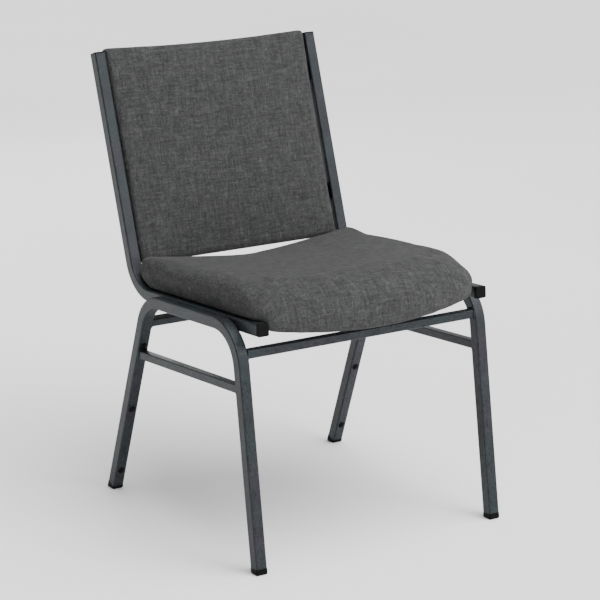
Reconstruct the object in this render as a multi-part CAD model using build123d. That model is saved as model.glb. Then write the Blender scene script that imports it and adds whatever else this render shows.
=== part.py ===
"""Stacking chair: two welded side frames, two cross stretchers, an upholstered seat and back.

Millimetres, +Z up, +Y towards the back of the chair, +X to the chair's right as seen from the front.
Heights are above the floor. Places along Y are first counted from midway between the front and rear
feet on the floor, and every piece is moved at the end so that Y = 0 is the middle of the whole depth.
"""
import os
from math import cos, radians, sin, tan

from build123d import *

# Square steel tube of the frame
TUBE = 22.2
TUBE_WALL = 1.5
TUBE_CORNER = 3.0
BEND_RADIUS = 75.0

# Lighter square tube of the stretchers
BAR = 16.0
BAR_WALL = 1.2
BAR_CORNER = 2.2

# Side frames
LEG_X = 257.7
RAIL_X = LEG_X - TUBE
RAIL_INNER_X = RAIL_X - TUBE / 2
FOOT_HALF_SPREAD = 267.5
FRONT_LEAN = 8.6
REAR_LEAN = 19.9
RUN_HEIGHT = 422.4
RUN_FALL = 3.78
RAIL_FRONT_Y = -243.0
UPRIGHT_Y = 227.4
UPRIGHT_REF_Z = 500.0
RECLINE = 18.2
UPRIGHT_TOP_Z = 841.5
TUBE_END_Z = 10.0

# Stretchers
FRONT_BAR_Y, FRONT_BAR_Z = -207.0, 387.8
REAR_BAR_Z = 366.0
SIDE_BAR_FRONT_Z, SIDE_BAR_FALL = 327.0, 4.1

# Plastic parts
PLUG_GAP = 0.1
PLUG_LENGTH = 18.0
GLIDE_PROUD = 0.4
GLIDE_ROUND = 3.0
UPRIGHT_CAP = 2.6
RAIL_CAP = 7.0
CAP_ROUND = 1.2
BUMPER_Z = (42.0, 180.0, 318.5)
BUMPER_R, BUMPER_HEIGHT = 7.0, 4.0
BUMPER_STEM_R, BUMPER_STEM = 3.0, 6.0
BUMPER_HOLE_R = 3.1

# Upholstery layers
FABRIC = 1.2
TUCK = 32.0
DUST_COVER = 0.8
FOAM_GAP = 0.3

# Seat, in its own frame on top of the rails
SEAT_HALF_W = 240.0
SEAT_REAR, SEAT_FRONT = 189.0, -276.0
SEAT_THICK, SEAT_REAR_THICK = 54.0, 50.0
SEAT_LIP_DROP, SEAT_LIP_RISE = 36.0, 18.0
SEAT_DISH, SEAT_DISH_FRONT = 21.0, -60.0
WATERFALL_RADIUS = 60.0
SEAT_BOW = 34.0
SEAT_FRONT_CORNER, SEAT_REAR_CORNER = 46.0, 14.0
SEAT_BOARD = 11.0
SEAT_BOARD_NOSE = 8.0
LIP_DRAFT = 4.0
SEAT_SPAN = 1000.0
SEAT_BOARD_HALF_W = 231.0
SEAT_BOARD_REAR = 178.0
LIP_HALF_W = 214.0
LIP_INNER_RADIUS = 30.0
LIP_BACK = -251.0

# Back, in its own frame on the plane of the uprights' axes
BACK_HALF_W = 221.5
BACK_BOTTOM_Z, BACK_TOP_Z = 456.5, 851.0
BACK_FRONT, BACK_REAR = 20.0, -11.0
BACK_CORNER = 14.0
BACK_EDGE_ROUND = 9.0
BACK_BOARD = 9.0
BACK_BOARD_REAR = -2.0
BACK_BOARD_INSET = 6.0
BACK_PANEL = 3.0
BACK_PANEL_INSET = 10.0
BACK_TOP_DIP = 6.5

# Dust cover under the seat
DUST_REAR_IN, DUST_FRONT_IN = 6.0, 4.0

# Fixings
TAB_WIDTH, TAB_LENGTH, TAB_THICK = 30.0, 34.0, 3.0
TAB_HOLE_IN = 19.0
TAB_CORNER = 6.0
TAB_HOLE_R = 3.3
SEAT_TAB_Y = (-165.0, 105.0)
BACK_TAB_Z = (540.0, 770.0)
BOLT_R, BOLT_HEAD_R, BOLT_HEAD = 3.0, 5.6, 3.0
BOLT_HEAD_ROUND = 1.4
SOCKET_R, SOCKET_DEPTH = 2.2, 1.6
WASHER_R, WASHER = 7.0, 1.2
NUT_BARREL_R, NUT_FLANGE_R, NUT_FLANGE = 3.9, 8.5, 1.5
NUT_BORE_R = 3.05
STAPLE_CROWN, STAPLE_WIRE, STAPLE_PITCH = 10.0, 0.7, 58.0
STAPLE_EDGE_IN = 6.0
BACK_STAPLE_IN = 22.0


def at_run(y):
    """Height of the tube axis of a side frame's upper run at y."""
    return RUN_HEIGHT - tan(radians(RUN_FALL)) * y


def front_leg_y(z):
    return -FOOT_HALF_SPREAD + tan(radians(FRONT_LEAN)) * z


def rear_leg_y(z):
    return FOOT_HALF_SPREAD - tan(radians(REAR_LEAN)) * z


def upright_y(z):
    return UPRIGHT_Y + tan(radians(RECLINE)) * (z - UPRIGHT_REF_Z)


def meet_run(y_at_floor, slope):
    """Point (y, z) where a line y = y_at_floor + slope * z meets the upper run."""
    fall = tan(radians(RUN_FALL))
    z = (RUN_HEIGHT - fall * y_at_floor) / (1 + fall * slope)
    return y_at_floor + slope * z, z


def biggest(shape):
    """The largest solid of a cut, which drops loose crumbs."""
    return Part() + max(shape.solids(), key=lambda solid: solid.volume)


def square_section(size, corner):
    return RectangleRounded(size, size, corner)


def swept_square(path, size, corner):
    """Solid square bar along a path that lies in a plane of constant x."""
    start = Plane(origin=path @ 0, x_dir=(1, 0, 0), z_dir=path % 0)
    return sweep(start * square_section(size, corner), path=path)


def tube_along(path, size, wall, corner):
    inner = swept_square(path, size - 2 * wall, corner - wall)
    return swept_square(path, size, corner) - inner


def leg_path(x):
    front = meet_run(-FOOT_HALF_SPREAD, tan(radians(FRONT_LEAN)))
    rear = meet_run(FOOT_HALF_SPREAD, -tan(radians(REAR_LEAN)))
    points = [
        (x, front_leg_y(TUBE_END_Z), TUBE_END_Z),
        (x, *front),
        (x, *rear),
        (x, rear_leg_y(TUBE_END_Z), TUBE_END_Z),
    ]
    return FilletPolyline(*points, radius=BEND_RADIUS)


def rail_path(x):
    slope = tan(radians(RECLINE))
    corner = meet_run(upright_y(0), slope)
    points = [
        (x, RAIL_FRONT_Y, at_run(RAIL_FRONT_Y)),
        (x, *corner),
        (x, upright_y(UPRIGHT_TOP_Z), UPRIGHT_TOP_Z),
    ]
    return FilletPolyline(*points, radius=BEND_RADIUS)


def rear_leg_front_face(x, z):
    """On the front face of a rear leg at height z; local z points out of the face."""
    lean = radians(REAR_LEAN)
    y = rear_leg_y(z) - TUBE / 2 / cos(lean)
    return Plane(origin=(x, y, z), x_dir=(1, 0, 0), z_dir=(0, -cos(lean), -sin(lean)))


def leg_frame(x):
    frame = tube_along(leg_path(x), TUBE, TUBE_WALL, TUBE_CORNER)
    for z in BUMPER_Z:
        hole = rear_leg_front_face(x, z) * Cylinder(BUMPER_HOLE_R, 6 * TUBE_WALL)
        frame -= hole
    return frame


def cross_bar(half_length, y, z, lean):
    """Square tube along X, its section turned by lean about X."""
    outer = extrude(square_section(BAR, BAR_CORNER), half_length, both=True)
    inner_size = BAR - 2 * BAR_WALL
    inner = extrude(square_section(inner_size, BAR_CORNER - BAR_WALL), half_length, both=True)
    return Pos(0, y, z) * Rot(lean, 0, 0) * Rot(0, 90, 0) * (outer - inner)


def front_stretcher():
    return cross_bar(LEG_X - TUBE / 2, FRONT_BAR_Y, FRONT_BAR_Z, 0)


def rear_stretcher():
    return cross_bar(LEG_X - TUBE / 2, rear_leg_y(REAR_BAR_Z), REAR_BAR_Z, REAR_LEAN)


def between_legs(x):
    """Prism that fills a side frame from the front leg's rear face to the rear leg's front face."""
    front_off = TUBE / 2 / cos(radians(FRONT_LEAN))
    rear_off = TUBE / 2 / cos(radians(REAR_LEAN))
    low, high = SIDE_BAR_FRONT_Z / 2, SIDE_BAR_FRONT_Z + 2 * BAR
    outline = Polyline(
        (front_leg_y(low) + front_off, low),
        (rear_leg_y(low) - rear_off, low),
        (rear_leg_y(high) - rear_off, high),
        (front_leg_y(high) + front_off, high),
        close=True,
    )
    side = Plane(origin=(x, 0, 0), x_dir=(0, 1, 0), z_dir=(1, 0, 0))
    return extrude(side * make_face(outline), BAR, both=True)


def side_stretcher(x):
    front = (x, front_leg_y(SIDE_BAR_FRONT_Z), SIDE_BAR_FRONT_Z)
    reach = 2 * FOOT_HALF_SPREAD
    fall = tan(radians(SIDE_BAR_FALL))
    rear = (x, front[1] + reach, SIDE_BAR_FRONT_Z - fall * reach)
    return tube_along(Line(front, rear), BAR, BAR_WALL, BAR_CORNER) & between_legs(x)


def end_plug(path_end, outward, length):
    """Square plug that fills a tube's end; it reaches length into the tube."""
    size = TUBE - 2 * (TUBE_WALL + PLUG_GAP)
    plane = Plane(origin=path_end, x_dir=(1, 0, 0), z_dir=outward)
    return extrude(plane * square_section(size, TUBE_CORNER - TUBE_WALL), -length)


def end_cap(path_end, outward, thickness):
    """Cap with a rounded outer rim, and its plug inside the tube."""
    plane = Plane(origin=path_end, x_dir=(1, 0, 0), z_dir=outward)
    head = extrude(plane * square_section(TUBE, TUBE_CORNER), thickness)
    rim = head.faces().sort_by(Axis(path_end, outward))[-1].edges()
    return fillet(rim, CAP_ROUND) + end_plug(path_end, outward, PLUG_LENGTH)


def foot_glide(x, front):
    """Glide under a leg: a head the size of the tube, cut flat on the floor, and its plug."""
    lean = radians(FRONT_LEAN if front else -REAR_LEAN)
    y = front_leg_y(TUBE_END_Z) if front else rear_leg_y(TUBE_END_Z)
    down = Vector(0, -sin(lean), -cos(lean))
    end = Vector(x, y, TUBE_END_Z)
    plane = Plane(origin=end, x_dir=(1, 0, 0), z_dir=down)
    head = extrude(plane * square_section(TUBE + 2 * GLIDE_PROUD, TUBE_CORNER), 3 * TUBE_END_Z)
    floor_cut = Pos(0, 0, -50) * Box(2000, 2000, 100)
    head -= floor_cut
    sole = head.faces().sort_by(Axis.Z)[0]
    return fillet(sole.edges(), GLIDE_ROUND) + end_plug(end, down, PLUG_LENGTH)


def stacking_bumper(x, z):
    """Domed button with a stem that snaps through the leg's wall."""
    dome_r = (BUMPER_R ** 2 + BUMPER_HEIGHT ** 2) / (2 * BUMPER_HEIGHT)
    ball = Pos(0, 0, BUMPER_HEIGHT - dome_r) * Sphere(dome_r)
    keep = Pos(0, 0, BUMPER_HEIGHT / 2) * Cylinder(2 * BUMPER_R, BUMPER_HEIGHT)
    stem = Pos(0, 0, -BUMPER_STEM / 2) * Cylinder(BUMPER_STEM_R, BUMPER_STEM)
    return rear_leg_front_face(x, z) * ((ball & keep) + stem)


def seat_side_plane():
    """Local x runs back along the rails' tops, local y points up from them, local z is +X."""
    fall = radians(RUN_FALL)
    top = RUN_HEIGHT + TUBE / 2 / cos(fall)
    return Plane(origin=(0, 0, top), x_dir=(0, cos(fall), -sin(fall)), z_dir=(1, 0, 0))


def seat_plan_plane(lift=0.0):
    """Local x is +X, local y runs back along the rails' tops, local z points up from them."""
    side = seat_side_plane()
    return Plane(origin=side.origin + side.y_dir * lift, x_dir=(1, 0, 0), z_dir=side.y_dir)


def seat_profile(inset):
    """Side outline of the padded seat, drawn in by inset, with its waterfall front and lip."""
    radius = WATERFALL_RADIUS - inset
    rear, front = SEAT_REAR - inset, SEAT_FRONT + inset
    top, rear_top = SEAT_THICK - inset, SEAT_REAR_THICK - inset
    low = -SEAT_LIP_DROP + inset
    lip_back = LIP_BACK + FABRIC - inset
    inner = LIP_INNER_RADIUS - FABRIC + inset
    crest = (front + radius, top)
    nose = (front, top - radius)
    lines = [
        Line((rear, inset), (rear, rear_top)),
        Spline((rear, rear_top), (0, top), crest, tangents=((-1, 0.06), (-1, 0))),
        RadiusArc(crest, nose, -radius),
        Line(nose, (front + LIP_DRAFT, low)),
        Line((front + LIP_DRAFT, low), (lip_back, low)),
        Line((lip_back, low), (lip_back, inset - inner)),
        RadiusArc((lip_back, inset - inner), (lip_back + inner, inset), inner),
        Line((lip_back + inner, inset), (rear, inset)),
    ]
    return make_face(lines)


def seat_plan(half_w, rear, front, bow, front_corner, rear_corner):
    """Plan outline with a bowed front edge and rounded corners."""
    outline = make_face([
        Line((-half_w, front + bow), (-half_w, rear)),
        Line((-half_w, rear), (half_w, rear)),
        Line((half_w, rear), (half_w, front + bow)),
        ThreePointArc((half_w, front + bow), (0, front), (-half_w, front + bow)),
    ])
    corners = outline.vertices().sort_by(Axis.Y)
    outline = fillet(corners[2:], rear_corner)
    corners = [v for v in outline.vertices() if abs(abs(v.X) - half_w) < 0.01 and v.Y < 0]
    return fillet(corners, front_corner)


def beside_lip():
    """Space beside the lip, at and below the rails' tops, that the seat keeps clear of."""
    side_w = 2 * SEAT_HALF_W
    reach = side_w / 2 + RAIL_INNER_X - FABRIC
    block = Box(side_w, 1000, 100)
    both = Pos(reach, 0, -50) * block + Pos(-reach, 0, -50) * block
    return seat_plan_plane() * both


def rail_clearance(gap):
    """Space of both rails and uprights, with a gap all round, without the hollow inside."""
    shapes = [swept_square(rail_path(x), TUBE + 2 * gap, TUBE_CORNER + gap) for x in (-RAIL_X, RAIL_X)]
    return shapes[0] + shapes[1]


def under_lip(inset):
    """Space under the seat: the lip hangs lowest in the middle and rises in an arc to its ends."""
    low = -SEAT_LIP_DROP + inset
    end = (LIP_HALF_W, low + SEAT_LIP_RISE)
    deep = -2 * SEAT_LIP_DROP
    outline = make_face([
        ThreePointArc((-end[0], end[1]), (0, low), end),
        Line(end, (end[0], deep)),
        Line((end[0], deep), (-end[0], deep)),
        Line((-end[0], deep), (-end[0], end[1])),
    ])
    side = seat_side_plane()
    front = Plane(origin=side.origin, x_dir=(1, 0, 0), z_dir=-side.x_dir)
    return extrude(front * outline, SEAT_SPAN, both=True)


def seat_dish(inset):
    """Long round hollow that sinks into the top towards the rear, where a person sits."""
    radius = (SEAT_HALF_W ** 2 + SEAT_DISH ** 2) / (2 * SEAT_DISH)
    slope = SEAT_DISH / (SEAT_REAR - SEAT_DISH_FRONT)
    side = seat_side_plane()
    along = (side.x_dir - side.y_dir * slope).normalized()
    start = side.origin + side.x_dir * SEAT_DISH_FRONT + side.y_dir * (SEAT_THICK + radius)
    tube = Plane(origin=start, x_dir=(1, 0, 0), z_dir=along)
    return extrude(tube * Circle(radius + inset), SEAT_SPAN, both=True)


def padded_seat(inset):
    """Outer form of the seat, drawn in by inset."""
    block = extrude(seat_side_plane() * seat_profile(inset), SEAT_HALF_W + 1, both=True)
    block -= under_lip(inset) + seat_dish(inset)
    plan = seat_plan(
        SEAT_HALF_W - inset, SEAT_REAR - inset, SEAT_FRONT + inset, SEAT_BOW,
        SEAT_FRONT_CORNER - inset, SEAT_REAR_CORNER - inset,
    )
    return block & extrude(seat_plan_plane() * plan, SEAT_SPAN, both=True)


def seat_board_blank():
    """Moulded plywood: flat on the rails, its narrower front turned down between them."""
    inner = LIP_INNER_RADIUS
    outer = inner + SEAT_BOARD
    bottom = FABRIC
    back = LIP_BACK
    low = -SEAT_LIP_DROP
    lines = [
        Line((SEAT_BOARD_REAR, bottom), (SEAT_BOARD_REAR, bottom + SEAT_BOARD)),
        Line((SEAT_BOARD_REAR, bottom + SEAT_BOARD), (back + inner, bottom + SEAT_BOARD)),
        RadiusArc((back + inner, bottom + SEAT_BOARD), (back - SEAT_BOARD, bottom - inner), -outer),
        Line((back - SEAT_BOARD, bottom - inner), (back - SEAT_BOARD, low)),
        Line((back - SEAT_BOARD, low), (back, low)),
        Line((back, low), (back, bottom - inner)),
        RadiusArc((back, bottom - inner), (back + inner, bottom), inner),
        Line((back + inner, bottom), (SEAT_BOARD_REAR, bottom)),
    ]
    return extrude(seat_side_plane() * make_face(lines), SEAT_BOARD_HALF_W + 1, both=True)


def seat_board_outline():
    plan = seat_plan(
        SEAT_BOARD_HALF_W, SEAT_BOARD_REAR, SEAT_FRONT + SEAT_BOARD_NOSE, SEAT_BOW,
        SEAT_FRONT_CORNER, SEAT_REAR_CORNER,
    )
    return extrude(seat_plan_plane() * plan, SEAT_SPAN, both=True) - under_lip(4 * FABRIC)


def lip_corner_cut():
    """Takes the board's front corners off, so that only the narrower lip turns down."""
    width = 100.0
    length = SEAT_BOARD_REAR - LIP_BACK
    start = LIP_BACK + LIP_INNER_RADIUS + 2 * FABRIC
    blocks = [
        Pos(side * (LIP_HALF_W + width / 2), start - length / 2, 0) * Box(width, length, 200)
        for side in (-1, 1)
    ]
    return seat_plan_plane() * (blocks[0] + blocks[1])


def seat_tab_centres():
    """Bolt centres of the seat in its plan plane."""
    x = RAIL_INNER_X - TAB_HOLE_IN
    return [(side * x, y) for side in (-1, 1) for y in SEAT_TAB_Y]


def on_plan(centre, low, high, radius):
    """Round pin in the seat's plan plane, from height low to height high."""
    middle = (low + high) / 2
    return seat_plan_plane() * (Pos(centre[0], centre[1], middle) * Cylinder(radius, high - low))


def seat_board():
    board = seat_board_blank() & seat_board_outline()
    board -= lip_corner_cut()
    board -= rail_clearance(FOAM_GAP)
    top = FABRIC + SEAT_BOARD
    for centre in seat_tab_centres():
        board -= on_plan(centre, 0, top + 1, NUT_BARREL_R + PLUG_GAP)
        board -= on_plan(centre, top - NUT_FLANGE, top + 1, NUT_FLANGE_R + PLUG_GAP)
    return board


def seat_foam():
    """Padding over the board, whose bolt holes it doesn't enter."""
    board = (seat_board_blank() & seat_board_outline()) - lip_corner_cut()
    foam = padded_seat(FABRIC + FOAM_GAP) - board
    foam -= beside_lip()
    foam -= rail_clearance(FABRIC + FOAM_GAP)
    return biggest(foam)


def seat_cover():
    """Woven skin over the foam, turned under the board's edge all round."""
    skin = padded_seat(0) - padded_seat(FABRIC)
    skin -= beside_lip()
    skin -= rail_clearance(FOAM_GAP)
    opening = seat_plan(
        SEAT_BOARD_HALF_W - TUCK, SEAT_BOARD_REAR - TUCK, LIP_BACK + TUCK, SEAT_BOW,
        SEAT_REAR_CORNER, SEAT_REAR_CORNER,
    )
    skin -= extrude(seat_plan_plane(-1) * opening, FABRIC + 2)
    for centre in seat_tab_centres():
        skin -= on_plan(centre, -1, FABRIC + 1, TAB_HOLE_R + 1)
    return biggest(skin)


def dust_cover():
    """Thin black sheet under the seat, between the rails."""
    half_w = RAIL_INNER_X - 1
    rear = SEAT_BOARD_REAR - DUST_REAR_IN
    front = LIP_BACK + LIP_INNER_RADIUS + DUST_FRONT_IN
    length = rear - front
    sheet = Pos(0, (rear + front) / 2, -DUST_COVER / 2) * Box(2 * half_w, length, DUST_COVER)
    sheet = seat_plan_plane() * sheet
    for centre in seat_tab_centres():
        sheet -= on_plan(centre, -2, 1, TAB_HOLE_R + 1)
    return sheet


def tab_plate():
    """Steel plate with one hole, its welded edge along local x = 0, its top at local z = 0."""
    plate = Pos(TAB_WIDTH / 2, 0, -TAB_THICK / 2) * Box(TAB_WIDTH, TAB_LENGTH, TAB_THICK)
    free = plate.edges().filter_by(Axis.Z).sort_by(Axis.X)[2:]
    plate = fillet(free, TAB_CORNER)
    return plate - Pos(TAB_HOLE_IN, 0, 0) * Cylinder(TAB_HOLE_R, 4 * TAB_THICK)


def seat_tab(side, y):
    """Plate welded to a rail's inner face, its top against the dust cover."""
    plate = tab_plate()
    if side > 0:
        plate = Rot(0, 0, 180) * plate
    return seat_plan_plane(-DUST_COVER) * (Pos(side * RAIL_INNER_X, y, 0) * plate)


def bolt(grip, shank):
    """Low round-headed bolt with a hex socket; the head's seat is at z = 0, the shank goes up."""
    head = Pos(0, 0, -BOLT_HEAD / 2) * Cylinder(BOLT_HEAD_R, BOLT_HEAD)
    head = fillet(head.faces().sort_by(Axis.Z)[0].edges(), BOLT_HEAD_ROUND)
    socket = extrude(Pos(0, 0, -BOLT_HEAD) * RegularPolygon(SOCKET_R, 6), SOCKET_DEPTH)
    body = Pos(0, 0, (grip + shank) / 2) * Cylinder(BOLT_R, grip + shank)
    return head - socket + body


def washer():
    ring = Pos(0, 0, WASHER / 2) * Cylinder(WASHER_R, WASHER)
    return ring - Cylinder(BOLT_R + 0.2, 4 * WASHER)


def tee_nut(depth):
    """Flange at the top (z = 0), barrel below it, threaded bore drawn plain."""
    flange = Pos(0, 0, -NUT_FLANGE / 2) * Cylinder(NUT_FLANGE_R, NUT_FLANGE)
    barrel = Pos(0, 0, -depth / 2) * Cylinder(NUT_BARREL_R, depth)
    return flange + barrel - Cylinder(NUT_BORE_R, 4 * depth)


def group(pieces):
    """Several separate solids as one shape."""
    return Compound([solid for piece in pieces for solid in piece.solids()])


def seat_fixings():
    """Bolts, washers and tee nuts of the seat, as three groups."""
    under_tab = -DUST_COVER - TAB_THICK
    top = FABRIC + SEAT_BOARD
    grip = top - under_tab
    bolts, washers, nuts = [], [], []
    for x, y in seat_tab_centres():
        spot = Pos(x, y, 0)
        bolts.append(seat_plan_plane(under_tab - WASHER) * (spot * bolt(grip, 0)))
        washers.append(seat_plan_plane(under_tab - WASHER) * (spot * washer()))
        nuts.append(seat_plan_plane(top) * (spot * tee_nut(SEAT_BOARD - 1)))
    return bolts, washers, nuts


def back_plane(lift=0.0):
    """Local x is +X, local y runs up the uprights' axes, local z points forwards out of the back."""
    lean = radians(RECLINE)
    forward = Vector(0, -cos(lean), sin(lean))
    base = Vector(0, upright_y(UPRIGHT_REF_Z), UPRIGHT_REF_Z) + forward * lift
    return Plane(origin=base, x_dir=(1, 0, 0), z_dir=forward)


def up_back(z):
    """Distance along the uprights that reaches height z."""
    return (z - UPRIGHT_REF_Z) / cos(radians(RECLINE))


def back_slab(inset, low, high, corner):
    """Rounded slab in the back's plane, its top dipped in an arc, drawn in by inset, low to high deep."""
    bottom = up_back(BACK_BOTTOM_Z) + inset
    top = up_back(BACK_TOP_Z) - inset
    face = Pos(0, (top + bottom) / 2) * RectangleRounded(2 * (BACK_HALF_W - inset), top - bottom, corner)
    radius = (BACK_HALF_W ** 2 + BACK_TOP_DIP ** 2) / (2 * BACK_TOP_DIP)
    face -= Pos(0, up_back(BACK_TOP_Z) - BACK_TOP_DIP + radius) * Circle(radius + inset)
    return back_plane(low) * extrude(face, high - low)


def padded_back(inset):
    slab = back_slab(inset, BACK_REAR + inset, BACK_FRONT - inset, BACK_CORNER - inset)
    front = slab.faces().sort_by(Axis((0, 0, 0), back_plane().z_dir))[-1]
    return fillet(front.edges(), BACK_EDGE_ROUND - inset)


def back_board_solid():
    board_front = BACK_BOARD_REAR + BACK_BOARD
    return back_slab(BACK_BOARD_INSET, BACK_BOARD_REAR, board_front, BACK_CORNER)


def back_tab_centres():
    x = RAIL_INNER_X - TAB_HOLE_IN
    return [(side * x, up_back(z)) for side in (-1, 1) for z in BACK_TAB_Z]


def on_back(centre, low, high, radius):
    middle = (low + high) / 2
    return back_plane() * (Pos(centre[0], centre[1], middle) * Cylinder(radius, high - low))


def back_board():
    board = back_board_solid()
    top = BACK_BOARD_REAR + BACK_BOARD
    for centre in back_tab_centres():
        board -= on_back(centre, BACK_BOARD_REAR - 1, top + 1, NUT_BARREL_R + PLUG_GAP)
        board -= on_back(centre, top - NUT_FLANGE, top + 1, NUT_FLANGE_R + PLUG_GAP)
    return board


def back_foam():
    foam = padded_back(FABRIC + FOAM_GAP)
    behind = back_slab(-TUBE, BACK_REAR - TUBE, BACK_BOARD_REAR, BACK_CORNER)
    return foam - behind - back_board_solid()


def back_tab_slots():
    """Room in the cover's edge for the tabs that come in from the uprights."""
    thick = TAB_THICK + 1
    cuts = []
    for z in BACK_TAB_Z:
        block = Box(2 * BACK_HALF_W + 20, TAB_LENGTH + 2, thick)
        cuts.append(Pos(0, up_back(z), BACK_BOARD_REAR - TAB_THICK / 2) * block)
    return back_plane() * (cuts[0] + cuts[1])


def back_cover():
    """Woven skin over the foam's front and edges, turned in behind the board."""
    skin = padded_back(0) - padded_back(FABRIC)
    keep_depth = BACK_PANEL_INSET - 2
    opening = back_slab(keep_depth, BACK_REAR - 1, BACK_REAR + FABRIC + 1, BACK_CORNER)
    return biggest(skin - opening - back_tab_slots())


def back_panel():
    """Thin hardboard that closes the back behind the tabs and bolts."""
    return back_slab(BACK_PANEL_INSET, BACK_REAR - BACK_PANEL + FABRIC, BACK_REAR + FABRIC, BACK_CORNER)


def back_panel_cover():
    """Woven skin over the closing panel's outer face and edges."""
    outer_low = BACK_REAR - BACK_PANEL
    skin = back_slab(BACK_PANEL_INSET - FABRIC, outer_low, BACK_REAR + FABRIC, BACK_CORNER)
    return skin - back_panel()


def back_tab(side, z):
    plate = tab_plate()
    if side > 0:
        plate = Rot(0, 0, 180) * plate
    return back_plane(BACK_BOARD_REAR) * (Pos(side * RAIL_INNER_X, up_back(z), 0) * plate)


def back_fixings():
    behind_tab = BACK_BOARD_REAR - TAB_THICK
    front = BACK_BOARD_REAR + BACK_BOARD
    grip = front - behind_tab
    bolts, washers, nuts = [], [], []
    for x, y in back_tab_centres():
        spot = Pos(x, y, 0)
        bolts.append(back_plane(behind_tab - WASHER) * (spot * bolt(grip, 0)))
        washers.append(back_plane(behind_tab - WASHER) * (spot * washer()))
        nuts.append(back_plane(front) * (spot * tee_nut(BACK_BOARD - 1)))
    return bolts, washers, nuts


def staple_row(half_w, low, high):
    """Staple crowns around a rectangle in local x and y, each along its edge."""
    crowns = []
    across = Box(STAPLE_CROWN, STAPLE_WIRE, STAPLE_WIRE)
    along = Box(STAPLE_WIRE, STAPLE_CROWN, STAPLE_WIRE)
    count_x = round(2 * half_w / STAPLE_PITCH)
    count_y = round((high - low) / STAPLE_PITCH)
    for i in range(count_x):
        x = -half_w + (i + 0.5) * 2 * half_w / count_x
        crowns += [Pos(x, low, 0) * across, Pos(x, high, 0) * across]
    for i in range(count_y):
        y = low + (i + 0.5) * (high - low) / count_y
        crowns += [Pos(-half_w, y, 0) * along, Pos(half_w, y, 0) * along]
    return crowns


def seat_staples():
    """Crowns under the dust cover's edge, clear of the rails and of the tabs."""
    plane = seat_plan_plane(-DUST_COVER - STAPLE_WIRE / 2)
    half_w = RAIL_INNER_X - TAB_WIDTH - STAPLE_EDGE_IN
    front = LIP_BACK + LIP_INNER_RADIUS + DUST_FRONT_IN + STAPLE_EDGE_IN
    row = staple_row(half_w, front, SEAT_BOARD_REAR - DUST_REAR_IN - STAPLE_EDGE_IN)
    return [plane * crown for crown in row]


def back_staples():
    """Crowns on the rear face of the back board, under the closing panel."""
    plane = back_plane(BACK_BOARD_REAR - STAPLE_WIRE / 2)
    half_w = RAIL_INNER_X - TAB_WIDTH - STAPLE_EDGE_IN
    low = up_back(BACK_BOTTOM_Z) + BACK_STAPLE_IN
    row = staple_row(half_w, low, up_back(BACK_TOP_Z) - BACK_STAPLE_IN)
    return [plane * crown for crown in row]


def frame_nodes():
    nodes = {}
    for side, x in (("left", -LEG_X), ("right", LEG_X)):
        nodes[f"{side}_leg_frame"] = leg_frame(x)
        nodes[f"{side}_side_stretcher"] = side_stretcher(x)
    for side, x in (("left", -RAIL_X), ("right", RAIL_X)):
        nodes[f"{side}_rail_upright"] = tube_along(rail_path(x), TUBE, TUBE_WALL, TUBE_CORNER)
    nodes["front_stretcher"] = front_stretcher()
    nodes["rear_stretcher"] = rear_stretcher()
    return nodes


def plastic_nodes():
    nodes = {}
    for side, sign in (("left", -1), ("right", 1)):
        path = rail_path(sign * RAIL_X)
        nodes[f"{side}_upright_cap"] = end_cap(path @ 1, path % 1, UPRIGHT_CAP)
        nodes[f"{side}_rail_cap"] = end_cap(path @ 0, (path % 0) * -1, RAIL_CAP)
        nodes[f"front_{side}_glide"] = foot_glide(sign * LEG_X, True)
        nodes[f"rear_{side}_glide"] = foot_glide(sign * LEG_X, False)
        for name, z in zip(("low", "middle", "high"), BUMPER_Z):
            nodes[f"{side}_{name}_bumper"] = stacking_bumper(sign * LEG_X, z)
    return nodes


def tab_nodes():
    nodes = {}
    for side, sign in (("left", -1), ("right", 1)):
        for name, y in zip(("front", "rear"), SEAT_TAB_Y):
            nodes[f"{side}_{name}_seat_tab"] = seat_tab(sign, y)
        for name, z in zip(("low", "high"), BACK_TAB_Z):
            nodes[f"{side}_{name}_back_tab"] = back_tab(sign, z)
    return nodes


def upholstery_nodes():
    bolts, washers, nuts = seat_fixings()
    back_bolts, back_washers, back_nuts = back_fixings()
    return {
        "seat_board": biggest(seat_board()),
        "seat_foam": seat_foam(),
        "seat_cover": seat_cover(),
        "seat_dust_cover": dust_cover(),
        "seat_bolts": group(bolts),
        "seat_washers": group(washers),
        "seat_tee_nuts": group(nuts),
        "seat_staples": group(seat_staples()),
        "back_board": back_board(),
        "back_foam": back_foam(),
        "back_cover": back_cover(),
        "back_panel": back_panel(),
        "back_panel_cover": back_panel_cover(),
        "back_bolts": group(back_bolts),
        "back_washers": group(back_washers),
        "back_tee_nuts": group(back_nuts),
        "back_staples": group(back_staples()),
    }


def main():
    nodes = {**frame_nodes(), **plastic_nodes(), **tab_nodes(), **upholstery_nodes()}
    boxes = [shape.bounding_box() for shape in nodes.values()]
    front = min(box.min.Y for box in boxes)
    rear = max(box.max.Y for box in boxes)
    middle = (front + rear) / 2
    os.makedirs("parts", exist_ok=True)
    for name, shape in nodes.items():
        export_step(Pos(0, -middle, 0) * shape, f"parts/{name}.step")
    print(f"{len(nodes)} nodes, depth {rear - front:.1f}, moved by {-middle:.2f}")


main()
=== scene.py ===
"""Looks of the stacking chair: upholstery, welds, finishes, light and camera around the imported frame.

Metres, in the frame's own axes: +X is the chair's right, +Y its back, +Z up. The seat and the back
are each modelled in a frame of their own, (across, along, out), that lies on the tubes.
"""
from math import cos, pi, radians, sin, sqrt, tan

import bmesh
import bpy
from mathutils import Matrix, Vector
from mathutils.geometry import interpolate_bezier


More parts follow.
